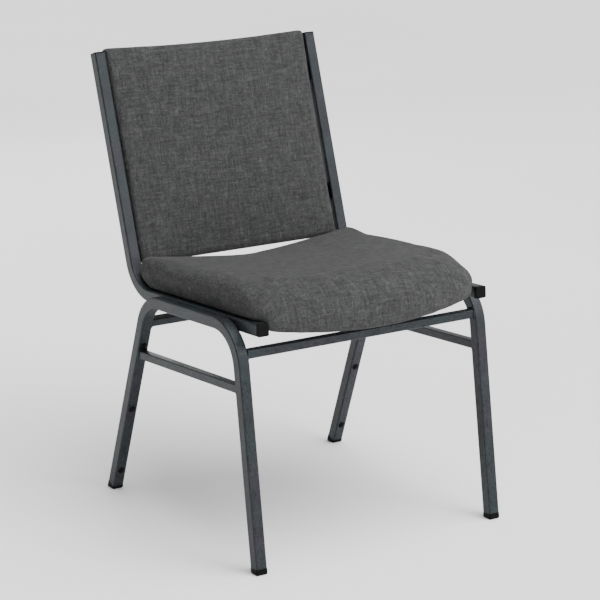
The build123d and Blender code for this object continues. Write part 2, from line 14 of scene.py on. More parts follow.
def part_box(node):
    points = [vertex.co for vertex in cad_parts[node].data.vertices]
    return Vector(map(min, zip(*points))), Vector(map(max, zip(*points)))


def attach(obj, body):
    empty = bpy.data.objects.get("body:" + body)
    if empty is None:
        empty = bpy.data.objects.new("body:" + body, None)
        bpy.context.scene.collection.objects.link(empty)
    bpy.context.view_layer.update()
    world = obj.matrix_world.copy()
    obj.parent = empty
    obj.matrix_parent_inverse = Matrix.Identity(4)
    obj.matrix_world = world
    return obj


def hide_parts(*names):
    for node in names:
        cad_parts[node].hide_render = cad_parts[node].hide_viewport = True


MM = 0.001

# Tilts of the frame's tubes
RUN_FALL = radians(3.78)
RECLINE = radians(18.2)
FRONT_LEAN = radians(8.6)
REAR_LEAN = radians(19.9)

# Seat cushion, in the seat's frame: s runs back along the rails, h stands up from their tops
SEAT_HALF = 238.5 * MM
SEAT_REAR = 188 * MM
SEAT_NOSE = -276 * MM
SEAT_BOW = 35 * MM
SEAT_FRONT_CORNER = 66 * MM
SEAT_REAR_CORNER = 9 * MM
SEAT_EDGE_H = 57 * MM
SEAT_TURN = 5.5 * MM
SEAT_DISH = 19.5 * MM
LIP_DROP = 36 * MM
LIP_RISE = 18 * MM
LIP_HALF = 217 * MM
LIP_END = 223 * MM
LIP_BACK = -251 * MM
LIP_BEND = 30 * MM
BEND_START = 139 * MM
BEND_INNER_R = 63.9 * MM
RAIL_INNER = 224.4 * MM
DUST_FRONT = -217 * MM
SEAT_MIDDLE_S = -45 * MM
FRONT_CORNER_SLACK = -0.05  # under 0, the front corners are fuller than an ellipse

# Rounding over the seat's edge at the front, the sides and the rear: how far in it starts, as a share of
# the way to the seat's middle, and how far it falls
ROUND_REACH = (0.31, 0.095, 0.03)
ROUND_FALL = (58 * MM, 25 * MM, 9 * MM)

# Part of the seat's underside that the turned-in cover leaves bare
BARE_HALF = 205 * MM
BARE_FRONT = -205 * MM
BARE_REAR = 158 * MM
BARE_EDGE = 10 * MM

# Back cushion, in the back's frame: u runs up the uprights, n points forwards
BACK_HALF = 221.5 * MM
BACK_EDGE_N = 11.5 * MM
BACK_CROWN = 8.5 * MM
BACK_TOP_DIP = 6.5 * MM
BOARD_TOP_LOSS = 0.9 * MM  # the board's own dip takes this off its box
BACK_REAR_N = -11 * MM
BOARD_INSET = 6 * MM
BOARD_FRONT_N = 7 * MM
BOARD_REAR_N = -2 * MM
BACK_FLARE = 4 * MM
BACK_PULL_IN = 1.4 * MM
BACK_FOOT_CORNER = 9 * MM
BACK_TOP_CORNER = 6 * MM
PANEL_INSET = 6.8 * MM
PANEL_REAR_N = -14 * MM

# Frame, fixings and dust sheet
TUBE = 22.2 * MM
BAR = 16 * MM
TAB_LENGTH = 34 * MM
TAB_THICK = 3 * MM
SHEET_THICK = 0.8 * MM
SHEET_SAG = 2.2 * MM
PUCKER_ACROSS = 47.2 * MM
PUCKER_ALONG = 58.5 * MM
HEM = 14 * MM
WELD_R = 1.9 * MM
WELD_RIPPLE = 1.3 * MM
RAIL_WELD_R = 2.2 * MM
RAIL_WELD_LENGTH = 30 * MM
RAIL_WELD_STARTS = (-178 * MM, -55 * MM, 68 * MM)
TAB_WELD_R = 1.7 * MM
STAPLE_R = 0.42 * MM
STAPLE_LEG = 6 * MM

SAME_SPOT = 0.05 * MM  # grid on which the corners of a CAD mesh are one corner
VOXEL = 5 * MM
PRESSURE = 4
PUFF_MOST = 3 * MM

CLOTH_LEVEL = 0.33
YARN_PITCH = 1.25 * MM
YARN_WOBBLE = 1.6 * MM
BOND_PITCH = 2.1 * MM
LEG_BEND_Z = 370 * MM

# Light and camera
WORLD_STRENGTH = 0.55
SKY_ENERGY, SKY_ANGLE, SKY_TILT = 5.2, radians(60), (radians(20), radians(14), 0)
AIM = (0, 0, 0.45)
CAMERA_AT = (-2.2293, -3.48891, 1.51976)
CAMERA_PITCH, CAMERA_TURN = radians(-15.218), radians(-32.864)
CAMERA_LENS, CAMERA_SENSOR = 136.2, 36
FLOOR_HALF = 30


# ---------------------------------------------------------------- frames and small helpers

def tilted_frame(origin, turn):
    """Axes turned about X by turn, at origin: columns are across, along and out."""
    return Matrix.Translation(origin) @ Matrix.Rotation(turn, 4, "X")


def seat_frame():
    """On the rails' tops, s = 0 where part.py has it."""
    low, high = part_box("seat_dust_cover")
    front = Vector((0, low.y, high.z))
    along = Vector((0, cos(RUN_FALL), -sin(RUN_FALL)))
    return tilted_frame(front - along * DUST_FRONT, -RUN_FALL)


def back_frame():
    """On the uprights' axes, u = 0 at the board's bottom edge: columns are across, up and forwards."""
    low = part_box("back_board")[0]
    y = low.y + BOARD_FRONT_N * cos(RECLINE)
    z = low.z - BOARD_REAR_N * sin(RECLINE)
    return tilted_frame(Vector((0, y, z)), pi / 2 - RECLINE)


def smooth(t):
    t = min(max(t, 0.0), 1.0)
    return t * t * (3 - 2 * t)


def mesh_object(name, verts, faces, material, place=None):
    mesh = bpy.data.meshes.new(name)
    mesh.from_pydata([tuple(v) for v in verts], [], faces)
    mesh.validate()
    for polygon in mesh.polygons:
        polygon.use_smooth = True
    obj = bpy.data.objects.new(name, mesh)
    bpy.context.collection.objects.link(obj)
    if place is not None:
        obj.matrix_world = place
    if material is not None:
        mesh.materials.append(material)
    return obj


def keep_piece(obj):
    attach(obj, "root")


def recalc_normals(obj):
    work = bmesh.new()
    work.from_mesh(obj.data)
    bmesh.ops.recalc_face_normals(work, faces=work.faces)
    work.to_mesh(obj.data)
    work.free()


# ---------------------------------------------------------------- outlines

def arc_through(half, side_y, mid_y, count):
    """Points of a bow from (half, side_y) through (0, mid_y) to (-half, side_y)."""
    points = []
    for i in range(count + 1):
        x = half * (1 - 2 * i / count)
        points.append(Vector((x, mid_y + (side_y - mid_y) * (x / half) ** 2)))
    return points


def rounded(points, radii, steps=10):
    """Closed outline with a round of its own at each corner that has a radius."""
    result = []
    count = len(points)
    for i, point in enumerate(points):
        radius = radii.get(i, 0)
        if not radius:
            result.append(point)
            continue
        before = (points[i - 1] - point).normalized()
        after = (points[(i + 1) % count] - point).normalized()
        half_angle = before.angle(after) / 2
        reach = radius / tan(half_angle)
        a, b = point + before * reach, point + after * reach
        pull = 4 / 3 * tan((pi / 2 - half_angle) / 2) * radius
        curve = interpolate_bezier(
            a.to_3d(), (a - before * pull).to_3d(), (b - after * pull).to_3d(), b.to_3d(), steps
        )
        result += [p.to_2d() for p in curve]
    return result


def even(points, count):
    """The same closed outline as count evenly spaced points."""
    loop = points + points[:1]
    lengths = [0.0]
    for a, b in zip(loop, loop[1:]):
        lengths.append(lengths[-1] + (b - a).length)
    result, k = [], 0
    for i in range(count):
        want = lengths[-1] * i / count
        while lengths[k + 1] < want:
            k += 1
        part = (want - lengths[k]) / max(lengths[k + 1] - lengths[k], 1e-9)
        result.append(loop[k].lerp(loop[k + 1], part))
    return result


def inward(points):
    """Unit normals that point into a closed outline that runs anticlockwise."""
    count = len(points)
    normals = []
    for i in range(count):
        step = points[(i + 1) % count] - points[i - 1]
        normals.append(Vector((-step.y, step.x)).normalized())
    return normals


def seat_outline(count=200):
    side = SEAT_NOSE + SEAT_BOW
    corners = [Vector((SEAT_HALF, SEAT_REAR)), Vector((-SEAT_HALF, SEAT_REAR))]
    bow = arc_through(-SEAT_HALF, side, SEAT_NOSE, 24)
    radii = {0: SEAT_REAR_CORNER, 1: SEAT_REAR_CORNER}
    trim = SEAT_FRONT_CORNER * 0.8
    keep = [p for p in bow if abs(p.x) < SEAT_HALF - trim or abs(p.x) > SEAT_HALF - MM]
    points = corners + keep
    radii[2] = radii[len(points) - 1] = SEAT_FRONT_CORNER * 0.72
    return even(rounded(points, radii), count)


def back_outline(top, count=200):
    """Straight foot, sides that pull in a little between the corners, and a dipped top edge."""
    foot = -BOARD_INSET
    points = []
    for i in range(13):
        t = i / 12
        side = BACK_HALF + BACK_FLARE * t ** 6 - BACK_PULL_IN * sin(pi * t)
        points.append(Vector((side, foot + (top - foot) * t)))
    for i in range(1, 12):
        t = 2 * i / 12 - 1
        x = -t * (BACK_HALF + BACK_FLARE)
        points.append(Vector((x, top - BACK_TOP_DIP * (1 - t * t))))
    left = [Vector((-p.x, p.y)) for p in points[:13]]
    points += left[::-1]
    radii = {0: BACK_FOOT_CORNER, 12: BACK_TOP_CORNER, 24: BACK_TOP_CORNER, 36: BACK_FOOT_CORNER}
    return even(rounded(points, radii, 8), count)


# ---------------------------------------------------------------- seat cushion

def seat_top(x, s):
    """Height of the padding above the rails: a slight crown along its sides, and a dish to the rear."""
    width = abs(x) / SEAT_HALF
    level = SEAT_EDGE_H + 1.2 * MM * sin(pi * min(max((s - SEAT_NOSE) / 0.46, 0), 1))
    dish = SEAT_DISH * smooth((s + 0.11) / 0.30) ** 1.25 * (1 - width ** 1.3)
    pan = 3.5 * MM * (1 - width ** 2) * smooth((s + 0.20) / 0.12)
    return level - dish - pan


def rail_bend(s):
    """Height of the bend's inner face above the rails' tops."""
    run = min(max(s - BEND_START, 0), BEND_INNER_R)
    return BEND_INNER_R - sqrt(max(BEND_INNER_R ** 2 - run ** 2, 0))


def lip_floor(x, s):
    """Depth of the lip's underside, with the bend behind it."""
    deep = -LIP_DROP + LIP_RISE * min(abs(x) / LIP_HALF, 1) ** 2
    ends = smooth((LIP_END - abs(x)) / (LIP_END - LIP_HALF))
    run = min(max(s - LIP_BACK - SEAT_BOW * (x / SEAT_HALF) ** 2, 0), LIP_BEND)
    bend = sqrt(max(LIP_BEND ** 2 - (LIP_BEND - run) ** 2, 0)) / LIP_BEND
    return deep * ends * (1 - bend)


def seat_bottom(x, s):
    """Underside: on the rails and over their bends, down the lip, and a step up to the bare board."""
    over_rail = smooth((abs(x) - 214 * MM) / (9 * MM))
    bend = rail_bend(s) * over_rail
    bare = smooth((BARE_HALF - abs(x)) / BARE_EDGE)
    bare *= smooth((s - BARE_FRONT) / BARE_EDGE) * smooth((BARE_REAR - s) / BARE_EDGE)
    return bend + lip_floor(x, s) + 0.4 * MM * over_rail + 2.5 * MM * bare


def along_edge(point, front, side, rear):
    """A value that changes smoothly round the outline, from the front to the sides and the rear."""
    nose = smooth((-0.150 - point.y) / 0.095)
    back = smooth((point.y - 0.10) / 0.07)
    return side + (front - side) * nose + (rear - side) * back * (1 - nose)


def shrink_rings(outline, centre, count):
    """Rings that fall from an outline to its centre."""
    rings = []
    for k in range(1, count):
        part = (1 - k / count) ** 0.9
        rings.append([centre + (p - centre) * part for p in outline])
    return rings


def seat_rings():
    """Rings of points from the middle of the top, over the edge, to the middle of the underside."""
    outline = seat_outline()
    normals = inward(outline)
    centre = Vector((0, SEAT_MIDDLE_S))
    wide = [along_edge(p, *ROUND_REACH) for p in outline]
    tall = [along_edge(p, *ROUND_FALL) for p in outline]
    inner = [p.lerp(centre, a) for p, a in zip(outline, wide)]
    tops = [seat_top(q.x, q.y) for q in inner]
    lows = [seat_bottom(*(p + m * SEAT_TURN)) + SEAT_TURN + MM for p, m in zip(outline, normals)]
    tall = [min(b, top - low) for b, top, low in zip(tall, tops, lows)]
    slack = [along_edge(p, FRONT_CORNER_SLACK * (abs(p.x) / SEAT_HALF) ** 4, 0, 0) for p in outline]
    rings = [[(p, seat_top(p.x, p.y)) for p in ring] for ring in shrink_rings(inner, centre, 16)][::-1]
    turns = 14
    for k in range(turns + 1):
        part = k / turns
        angle = pi / 2 * part
        ring = []
        for p, a, b, top, w in zip(outline, wide, tall, tops, slack):
            back_off = (1 - sin(angle)) * (1 - w) + (1 - part) * w
            drop = (1 - cos(angle)) * (1 - w) + part * w
            ring.append((p.lerp(centre, a * back_off), top - b * drop))
        rings.append(ring)
    rings += seat_wall_rings(outline, normals, rings[-1])
    under = [p.lerp(centre, 0.13) for p in outline]
    for part in (0.04, 0.06, 0.08, 0.10, 0.13):
        ring = [p.lerp(centre, part) for p in outline]
        rings.append([(p, seat_bottom(p.x, p.y)) for p in ring])
    rings += [[(p, seat_bottom(p.x, p.y)) for p in ring] for ring in shrink_rings(under, centre, 16)]
    return rings, centre


def seat_wall_rings(outline, normals, last):
    """The wall under the rounding, a little bulged, and the small turn on to the underside."""
    turn = SEAT_TURN
    rings = []
    for k in range(1, 5):
        part = k / 4
        ring = []
        for p, m, (_, high) in zip(outline, normals, last):
            low = seat_bottom((p + m * turn).x, (p + m * turn).y) + turn
            bulge = 1.6 * MM * sin(pi * part * 0.8)
            ring.append((p - m * bulge * (1 - part), high + (low - high) * part))
        rings.append(ring)
    for k in range(1, 5):
        angle = pi / 2 * k / 4
        ring = []
        for p, m in zip(outline, normals):
            place = p + m * turn * (1 - cos(angle))
            low = seat_bottom((p + m * turn).x, (p + m * turn).y)
            ring.append((place, low + turn * (1 - sin(angle))))
        rings.append(ring)
    return rings


def skin_of(rings, first_cap, last_cap):
    """Closed mesh over a stack of rings of (point, height), with a middle point at each end."""
    verts = []
    for ring in rings:
        verts += [Vector((p.x, p.y, h)) for p, h in ring]
    count = len(rings[0])
    faces = []
    for k in range(len(rings) - 1):
        for i in range(count):
            j = (i + 1) % count
            faces.append((k * count + i, k * count + j, (k + 1) * count + j, (k + 1) * count + i))
    for cap, ring in ((first_cap, 0), (last_cap, len(rings) - 1)):
        verts.append(Vector(cap))
        for i in range(count):
            j = (i + 1) % count
            faces.append((len(verts) - 1, ring * count + i, ring * count + j))
    return verts, faces


def seat_cushion(place, material):
    rings, centre = seat_rings()
    top = (centre.x, centre.y, seat_top(centre.x, centre.y))
    bottom = (centre.x, centre.y, seat_bottom(centre.x, centre.y))
    obj = mesh_object("seat_cushion", *skin_of(rings, top, bottom), material, place)
    recalc_normals(obj)
    return obj


# ---------------------------------------------------------------- back cushion

def back_front(x, u, top):
    """Front face of the back pad: flush with the uprights at its edges, crowned between them."""
    across = max(1 - (x / BACK_HALF) ** 2, 0)
    along = max(1 - (2 * u / top - 1) ** 2, 0)
    return BACK_EDGE_N + BACK_CROWN * across ** 0.8 * along ** 0.45


def back_rings(top):
    outline = back_outline(top)
    normals = inward(outline)
    centre = Vector((0, top / 2))
    wide, tall, small = 12 * MM, 10.5 * MM, 3.5 * MM
    inner = [p + m * wide for p, m in zip(outline, normals)]
    rings = [[(p, back_front(p.x, p.y, top)) for p in ring] for ring in shrink_rings(inner, centre, 16)]
    rings = rings[::-1]
    turns = 9
    for k in range(turns + 1):
        angle = pi / 2 * k / turns
        ring = []
        for p, m, q in zip(outline, normals, inner):
            front = back_front(q.x, q.y, top)
            ring.append((p + m * wide * (1 - sin(angle)), front - tall * (1 - cos(angle))))
        rings.append(ring)
    for k in range(1, 4):
        part = k / 3
        ring = []
        for p, (_, high) in zip(outline, rings[turns + 15]):
            ring.append((p, high + (BACK_REAR_N + small - high) * part))
        rings.append(ring)
    for k in range(1, 4):
        angle = pi / 2 * k / 3
        rings.append([
            (p + m * small * (1 - cos(angle)), BACK_REAR_N + small * (1 - sin(angle)))
            for p, m in zip(outline, normals)
        ])
    under = [p + m * 9 * MM for p, m in zip(outline, normals)]
    rings.append([(p, BACK_REAR_N) for p in under])
    rings += [[(p, BACK_REAR_N) for p in ring] for ring in shrink_rings(under, centre, 14)]
    return rings, centre


def back_cushion(place, top, material):
    rings, centre = back_rings(top)
    front = (centre.x, centre.y, back_front(centre.x, centre.y, top))
    rear = (centre.x, centre.y, BACK_REAR_N)
    obj = mesh_object("back_cushion", *skin_of(rings, front, rear), material, place)
    recalc_normals(obj)
    return obj


def back_panel_skin(place, top, material):
    """Woven skin of the panel that closes the back: soft edges and a very slight crown."""
    outline = back_outline(top)
    normals = inward(outline)
    centre = Vector((0, top / 2))
    outline = [p + m * PANEL_INSET for p, m in zip(outline, normals)]
    turn = 2.2 * MM
    inner = [p + m * turn for p, m in zip(outline, normals)]

    def rear(p):
        across = max(1 - (p.x / BACK_HALF) ** 2, 0)
        along = max(1 - (2 * p.y / top - 1) ** 2, 0)
        return PANEL_REAR_N - 1.2 * MM * (across * along) ** 0.6

    rings = [[(p, rear(p)) for p in ring] for ring in shrink_rings(inner, centre, 14)][::-1]
    for k in range(5):
        angle = pi / 2 * k / 4
        rings.append([
            (p + m * turn * (1 - sin(angle)), rear(q) + turn * (1 - cos(angle)))
            for p, m, q in zip(outline, normals, inner)
        ])
    low = BACK_REAR_N + 0.4 * MM
    rings.append([(p, low) for p in outline])
    rings += [[(p, low) for p in ring] for ring in shrink_rings(outline, centre, 6)]
    middle = (centre.x, centre.y, rear(centre))
    obj = mesh_object(
        "back_closing_panel", *skin_of(rings, middle, (centre.x, centre.y, low)), material, place
    )
    recalc_normals(obj)
    return obj


# ---------------------------------------------------------------- dust sheet, staples and welds

def dust_sheet(place, material):
    """Black sheet between the rails: tight at its edges, a little slack between the staples, hemmed."""
    low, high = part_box("seat_dust_cover")
    half = (high.x - low.x) / 2
    rear = DUST_FRONT + (high.y - low.y) / cos(RUN_FALL)
    columns, rows = 96, 88

    def under(x, s):
        across = 1 - (x / half) ** 2
        along = max(1 - (2 * (s - DUST_FRONT) / (rear - DUST_FRONT) - 1) ** 2, 0)
        slack = SHEET_SAG * (across * along) ** 0.7
        pucker = 0.35 * MM * sin(2 * pi * x / PUCKER_ACROSS) * (1 - along) * across
        pucker += 0.3 * MM * sin(2 * pi * s / PUCKER_ALONG) * (1 - across) * along
        crease = 0.5 * MM * sin(46 * x + 23 * s) * sin(19 * x - 37 * s) * across * along
        return -SHEET_THICK / 2 - slack - abs(pucker) - abs(crease)

    verts, faces = [], []
    for j in range(rows + 1):
        s = DUST_FRONT + (rear - DUST_FRONT) * j / rows
        for i in range(columns + 1):
            x = -half + 2 * half * i / columns
            verts.append((x, s, under(x, s)))
    for j in range(rows):
        for i in range(columns):
            a = j * (columns + 1) + i
            faces.append((a, a + 1, a + columns + 2, a + columns + 1))
    obj = mesh_object("seat_dust_sheet", verts, faces, material, place)
    thick = obj.modifiers.new("thick", "SOLIDIFY")
    thick.thickness = 0.5 * MM
    thick.offset = 0
    return obj, (2 * half, rear - DUST_FRONT), rear


def hem_strip(name, place, material, s_from, s_to, half):
    """Second layer where the dust sheet's edge is folded under, with a soft rolled fold."""
    verts, faces = [], []
    columns, rows = 80, 8
    for j in range(rows + 1):
        part = j / rows
        s = s_from + (s_to - s_from) * part
        roll = 0.45 * MM * cos(pi / 2 * min(part * 4, 1))
        for i in range(columns + 1):
            x = -half + 2 * half * i / columns
            wave = 0.12 * MM * sin(2 * pi * x / 0.031) * part
            verts.append((x, s, -1.25 * MM + roll + wave))
    for j in range(rows):
        for i in range(columns):
            a = j * (columns + 1) + i
            faces.append((a, a + 1, a + columns + 2, a + columns + 1))
    obj = mesh_object(name, verts, faces, material, place)
    thick = obj.modifiers.new("thick", "SOLIDIFY")
    thick.thickness = 0.4 * MM
    thick.offset = 0
    return obj


def swept(path, ring_at, closed):
    """Tube through path; ring_at(k, point, forward) gives the points of the ring there."""
    verts, faces = [], []
    count = len(path)
    for k, point in enumerate(path):
        ahead = path[(k + 1) % count] if closed or k < count - 1 else point
        behind = path[k - 1] if closed or k else point
        verts.append(ring_at(k, point, (ahead - behind).normalized()))
    size = len(verts[0])
    flat = [v for ring in verts for v in ring]
    for k in range(count if closed else count - 1):
        for i in range(size):
            j = (i + 1) % size
            a, b = k * size, (k + 1) % count * size
            faces.append((a + i, a + j, b + j, b + i))
    if not closed:
        faces.append(tuple(range(size)))
        faces.append(tuple(range((count - 1) * size, count * size))[::-1])
    return flat, faces


def spaced(points, step, closed):
    """The path as evenly spaced points about step apart."""
    loop = points + points[:1] if closed else points
    length = sum((b - a).length for a, b in zip(loop, loop[1:]))
    count = max(4, round(length / step))
    result, k, done = [], 0, 0.0
    for i in range(count if closed else count + 1):
        want = length * i / count
        while k < len(loop) - 2 and done + (loop[k + 1] - loop[k]).length < want:
            done += (loop[k + 1] - loop[k]).length
            k += 1
        part = (want - done) / max((loop[k + 1] - loop[k]).length, 1e-9)
        result.append(loop[k].lerp(loop[k + 1], min(part, 1)))
    return result


def weld_bead(points, closed, radius=WELD_R):
    """A bead with the overlapping ripples that a weld leaves, along a path in the row frame."""
    path = spaced(points, WELD_RIPPLE / 4, closed)
    last = len(path) - 1

    def ring(k, point, forward):
        side = forward.orthogonal().normalized()
        other = forward.cross(side)
        phase = (k % 4) / 4
        size = radius * (0.86 + 0.14 * sin(pi * phase)) * (1 + 0.07 * sin(k * 0.37))
        if not closed:
            size *= sqrt(max(min(k, last - k) / 6, 0.15)) if min(k, last - k) < 6 else 1
        return [
            point + (side * cos(a) + other * sin(a)) * size + forward * 0.3 * WELD_RIPPLE * cos(2 * a)
            for a in (2 * pi * i / 8 for i in range(8))
        ]

    return swept(path, ring, closed)


def joined(name, parts, material):
    verts, faces = [], []
    for part_verts, part_faces in parts:
        faces += [tuple(i + len(verts) for i in face) for face in part_faces]
        verts += part_verts
    obj = mesh_object(name, verts, faces, material)
    recalc_normals(obj)
    keep_piece(obj)
    return obj


def square_path(centre, one, two, half_one, half_two, corner):
    """Rounded rectangle about centre, across the directions one and two."""
    points = []
    for turn, (sx, sy) in enumerate(((1, 1), (-1, 1), (-1, -1), (1, -1))):
        for k in range(5):
            angle = pi / 2 * (turn + k / 4)
            x = sx * (half_one - corner) + corner * cos(angle)
            y = sy * (half_two - corner) + corner * sin(angle)
            points.append(centre + one * x + two * y)
    return points


def middle_of(node):
    low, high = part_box(node)
    return (low + high) / 2


def cross_welds(node, lean, material):
    """Beads round both ends of a stretcher that runs across, where it meets the legs."""
    middle = middle_of(node)
    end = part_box(node)[1].x
    one = Vector((0, cos(lean), sin(lean)))
    two = Vector((0, -sin(lean), cos(lean)))
    beads = []
    for sign in (-1, 1):
        centre = Vector((sign * (end - 0.6 * MM), middle.y, middle.z))
        half = BAR / 2 + 0.5 * MM
        beads.append(weld_bead(square_path(centre, one, two, half, half, 2.4 * MM), True))
    joined(node + "_welds", beads, material)


def side_welds(node, material):
    """Beads round both ends of a side stretcher, in the planes of the leaning legs' faces."""
    low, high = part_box(node)
    x = (low.x + high.x) / 2
    fall = (high.z - low.z - BAR) / (high.y - low.y)
    beads = []
    for sign, lean in ((-1, FRONT_LEAN), (1, -REAR_LEAN)):
        up_leg = Vector((0, sin(lean), cos(lean)))
        reach = BAR / 2 * tan(abs(lean))
        y = low.y + reach if sign < 0 else high.y - reach
        z = high.z - BAR / 2 if sign < 0 else low.z + BAR / 2
        centre = Vector((x, y - sign * 0.5 * MM, z - sign * fall * 0.5 * MM))
        half = BAR / 2 + 0.5 * MM
        path = square_path(centre, Vector((1, 0, 0)), up_leg, half, half / cos(lean), 2.4 * MM)
        beads.append(weld_bead(path, True))
    joined(node + "_welds", beads, material)


def seam_welds(place, material):
    """Short beads in the groove under each rail, where it lies against the leg frame's run."""
    for side, sign in (("left", -1), ("right", 1)):
        x = sign * (RAIL_INNER + TUBE)
        beads = []
        for start in RAIL_WELD_STARTS:
            ends = [Vector((x, s, -TUBE + 0.5 * MM)) for s in (start, start + RAIL_WELD_LENGTH)]
            beads.append(weld_bead([place @ p for p in ends], False, RAIL_WELD_R))
        joined(f"{side}_rail_welds", beads, material)


def tab_welds(name, place, nodes, depth, material):
    """A fillet bead along each tab's welded edge, on the side away from the padding."""
    beads = []
    for node in nodes:
        middle = place.inverted() @ middle_of(node)
        sign = 1 if middle.x > 0 else -1
        x = sign * (RAIL_INNER - 0.5 * MM)
        ends = [Vector((x, middle.y + side * (TAB_LENGTH / 2 - 3 * MM), depth)) for side in (-1, 1)]
        beads.append(weld_bead([place @ p for p in ends], False, TAB_WELD_R))
    joined(name, beads, material)


def islands(node):
    """Corners of each separate solid of a node, as lists of points."""
    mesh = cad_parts[node].data
    root = list(range(len(mesh.vertices)))

    def find(i):
        while root[i] != i:
            root[i] = root[root[i]]
            i = root[i]
        return i

    for edge in mesh.edges:
        a, b = (find(i) for i in edge.vertices)
        root[a] = b
    seen = {}
    for vertex in mesh.vertices:
        spot = tuple(round(c / SAME_SPOT) for c in vertex.co)
        same = find(seen.setdefault(spot, vertex.index))
        root[find(vertex.index)] = same
    groups = {}
    for vertex in mesh.vertices:
        groups.setdefault(find(vertex.index), []).append(vertex.co.copy())
    return [groups[key] for key in sorted(groups)]


def wire_staples(name, node, place, material):
    """Round wire staples in place of the plain crowns, their legs driven in along the local third axis."""
    back_to_local = place.inverted()
    verts, faces = [], []
    for corners in islands(node):
        local = [back_to_local @ c for c in corners]
        low = Vector([min(p[i] for p in local) for i in range(3)])
        high = Vector([max(p[i] for p in local) for i in range(3)])
        centre = (low + high) / 2
        size = high - low
        across = Vector((1, 0, 0)) if size.x > size.y else Vector((0, 1, 0))
        half = max(size.x, size.y) / 2 - STAPLE_R
        bend = 0.9 * MM
        up = Vector((0, 0, 1))
        path = [centre - across * half + up * STAPLE_LEG]
        path += [
            centre - across * (half - bend * (1 - cos(a))) + up * bend * (1 - sin(a))
            for a in (pi / 2 * k / 5 for k in range(6))
        ]
        path += [
            centre + across * (half - bend * (1 - cos(a))) + up * bend * (1 - sin(a))
            for a in (pi / 2 * k / 5 for k in range(5, -1, -1))
        ]
        path += [centre + across * half + up * STAPLE_LEG]

        def ring(k, point, forward):
            side = across.cross(up)
            other = forward.cross(side)
            angles = (2 * pi * i / 6 for i in range(6))
            return [point + (side * cos(a) + other * sin(a)) * STAPLE_R for a in angles]

        part_verts, part_faces = swept(path, ring, False)
        faces += [tuple(i + len(verts) for i in face) for face in part_faces]
        verts += part_verts
    obj = mesh_object(name, verts, faces, material, place)
    recalc_normals(obj)
    keep_piece(obj)
    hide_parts(node)
    return obj


# ---------------------------------------------------------------- soft finish

def remesh(obj, size):
    modifier = obj.modifiers.new("even", "REMESH")
    modifier.mode = "VOXEL"
    modifier.voxel_size = size
    modifier.use_smooth_shade = True
    apply_modifiers(obj)


def apply_modifiers(obj):
    depsgraph = bpy.context.evaluated_depsgraph_get()
    mesh = bpy.data.meshes.new_from_object(obj.evaluated_get(depsgraph))
    obj.modifiers.clear()
    old = obj.data
    name = old.name
    obj.data = mesh
    bpy.data.meshes.remove(old)
    mesh.name = name
    for polygon in mesh.polygons:
        polygon.use_smooth = True


def puff(obj, pressure, most, hold):
    """Lets the cover swell. hold(point) is 0 where it is fixed and 1 where it is free."""
    start = [v.co.copy() for v in obj.data.vertices]
    group = obj.vertex_groups.new(name="fixed")
    for vertex in obj.data.vertices:
        group.add([vertex.index], 1 - hold(vertex.co), "REPLACE")
    modifier = obj.modifiers.new("cloth", "CLOTH")
    settings = modifier.settings
    settings.quality = 5
    settings.mass = 0.4
    settings.tension_stiffness = settings.compression_stiffness = 25
    settings.shear_stiffness = 15
    settings.bending_stiffness = 4
    settings.use_pressure = True
    settings.uniform_pressure_force = pressure
    settings.effector_weights.gravity = 0
    settings.vertex_group_mass = "fixed"
    modifier.collision_settings.use_self_collision = False
    modifier.collision_settings.use_collision = False
    modifier.point_cache.frame_start = 1
    modifier.point_cache.frame_end = 20
    for frame_number in range(1, 21):
        bpy.context.scene.frame_set(frame_number)
    apply_modifiers(obj)
    bpy.context.scene.frame_set(1)
    obj.vertex_groups.clear()
    for vertex, old in zip(obj.data.vertices, start):
        move = vertex.co - old
        if move.length > most:
            move *= most / move.length
        vertex.co = old + move * hold(old)


def seat_hold(p):
    """0 on the underside and where the cover turns in, 1 on the top and the upper walls."""
    return smooth((p.z - seat_bottom(p.x, p.y) - 6 * MM) / (22 * MM))


def back_hold(p, top):
    """0 behind and along the edges, where the cover is pulled over the board, 1 on the front."""
    from_side = BACK_HALF - abs(p.x)
    from_end = min(p.y + BOARD_INSET, top - p.y)
    return smooth((p.z - 5 * MM) / (6 * MM)) * smooth(min(from_side, from_end) / (34 * MM))


def soften(obj, pressure, most, hold):
    remesh(obj, VOXEL)
    puff(obj, pressure, most, hold)
    subdivision = obj.modifiers.new("fine", "SUBSURF")
    subdivision.levels = subdivision.render_levels = 1


# ---------------------------------------------------------------- materials

